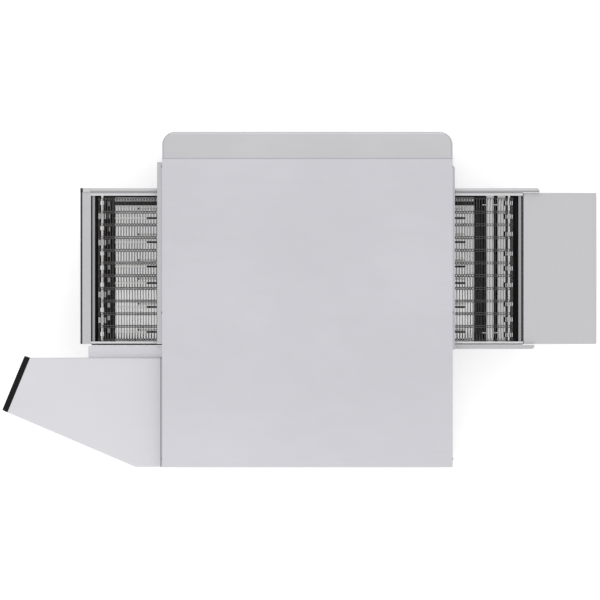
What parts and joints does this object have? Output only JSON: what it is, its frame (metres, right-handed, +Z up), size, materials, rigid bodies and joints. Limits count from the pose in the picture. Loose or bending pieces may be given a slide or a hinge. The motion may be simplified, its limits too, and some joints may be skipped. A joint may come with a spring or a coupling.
{
  "type": "tunnel oven",
  "caption": "Countertop tunnel oven with a wire belt running through an insulated baking chamber, an angled control box and a landing tray",
  "frame": {"origin": "middle of the footprint's bounding box, at the floor under the feet", "axes": "+X toward the infeed end of the belt, +Y toward the machine's rear, +Z up"},
  "size_m": [2.1214, 1.196, 0.52],
  "materials": {
    "housing_steel": "fine brushed stainless sheet",
    "hood_steel": "brushed stainless, a shade darker than the top",
    "window_glass": "dark tinted tempered glass",
    "conveyor_steel": "brushed stainless sheet and bar",
    "tray_steel": "satin stainless sheet",
    "belt_wire": "drawn stainless wire",
    "shaft_steel": "turned stainless steel",
    "rod_steel": "heat darkened steel",
    "finger_steel": "aluminised sheet, warm from use",
    "bearing_plastic": "dark moulded plastic",
    "box_steel": "light satin coat",
    "bezel_plastic": "dark grey moulded bezel",
    "panel_black": "black gloss touch panel",
    "foot_steel": "dark coated levelling feet"
  },
  "bodies": {
    "root": {"lower_housing": "housing_steel", "upper_housing": "housing_steel", "front_wall": "housing_steel", "rear_compartment": "housing_steel", "top_cover": "housing_steel", "infeed_side_panel": "housing_steel", "exit_side_panel": "housing_steel", "rear_panel": "housing_steel", "front_hood": "hood_steel", "front_window": "window_glass", "front_side_rail": "conveyor_steel", "rear_side_rail": "conveyor_steel", "front_guard": "conveyor_steel", "exit_rear_guard": "conveyor_steel", "infeed_nose": "conveyor_steel", "cross_bars": "conveyor_steel", "belt_slider": "conveyor_steel", "exit_plate": "conveyor_steel", "infeed_baffle": "conveyor_steel", "exit_baffle": "conveyor_steel", "drive_cover": "conveyor_steel", "exit_tray": "tray_steel", "infeed_crumb_tray": "tray_steel", "exit_crumb_tray": "tray_steel", "belt_top_run": "belt_wire", "belt_return_run": "belt_wire", "belt_links": "belt_wire", "belt_infeed_bend": "belt_wire", "belt_exit_bend": "belt_wire", "infeed_shaft": "shaft_steel", "exit_shaft": "shaft_steel", "infeed_sprockets": "shaft_steel", "exit_sprockets": "shaft_steel", "infeed_discs": "shaft_steel", "upper_belt_rods": "rod_steel", "lower_belt_rods": "rod_steel", "rod_carriers": "rod_steel", "bottom_pans": "rod_steel", "upper_air_fingers": "finger_steel", "lower_air_fingers": "finger_steel", "shaft_bearings": "bearing_plastic", "guard_end_cap": "bearing_plastic", "control_box": "box_steel", "control_bezel": "bezel_plastic", "control_panel": "panel_black", "feet": "foot_steel"}
  },
  "joints": []
}
